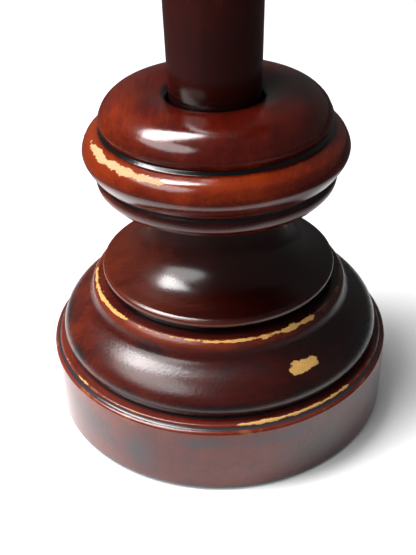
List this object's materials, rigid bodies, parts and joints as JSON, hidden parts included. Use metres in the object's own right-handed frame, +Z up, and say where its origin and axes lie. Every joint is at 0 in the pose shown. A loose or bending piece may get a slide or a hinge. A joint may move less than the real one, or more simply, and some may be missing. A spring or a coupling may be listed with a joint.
{
  "type": "tilt top table",
  "caption": "Small round pedestal table: a turned column on a moulded round plinth, with a moulded round top that tilts to vertical on two pins and is held by a spring catch.",
  "frame": {"origin": "on the column's axis at the floor, under the middle of the plinth", "axes": "+Z up the column, -Y to the front where the catch is, +X to the right seen from the front"},
  "size_m": [0.43, 0.43, 0.62],
  "materials": {
    "turned_mahogany": "deep gloss lacquer over dark red-brown stain, black glaze in the quirks, worn to pale wood on some edges",
    "top_mahogany": "deep gloss lacquer over dark red-brown stain",
    "under_wood": "thin satin stain",
    "baize": "short dense nap",
    "steel": "bright turned steel",
    "brass": "old satin brass"
  },
  "bodies": {
    "stand": {"base_felt": "baize", "plinth": "turned_mahogany", "base_ogee": "turned_mahogany", "dish_neck": "turned_mahogany", "knop": "turned_mahogany", "shaft": "turned_mahogany", "tie_rod": "steel", "rod_washer_bottom": "steel", "rod_nut_bottom": "steel", "rod_washer_top": "steel", "rod_nut_top": "steel", "pivot_block": "under_wood", "catch_keep": "brass", "keep_screw_1": "brass", "keep_screw_2": "brass"},
    "top": {"table_top": "top_mahogany", "bearer_left": "under_wood", "bearer_right": "under_wood", "pivot_pin_left": "steel", "pivot_pin_right": "steel", "catch_spring": "steel", "bearer_screw_left_1": "brass", "bearer_screw_left_2": "brass", "bearer_screw_left_3": "brass", "bearer_screw_right_1": "brass", "bearer_screw_right_2": "brass", "bearer_screw_right_3": "brass", "catch_plate": "brass", "catch_case": "brass", "catch_screw_1": "brass", "catch_screw_2": "brass", "catch_screw_3": "brass", "catch_screw_4": "brass"},
    "catch": {"catch_bolt": "brass", "catch_knob": "brass"}
  },
  "joints": [
    {"name": "top_tilt", "type": "hinge", "parent": "stand", "child": "top", "pos_m": [0, 0.052, 0.586], "axis": [-1, 0, 0], "range_deg": [0, 90]},
    {"name": "catch_slide", "type": "slide", "parent": "top", "child": "catch", "axis": [0, -1, 0], "range_m": [0, 0.006], "stiffness_N_per_m": 150, "springref_m": -0.01, "deforming": ["catch_spring"]}
  ]
}
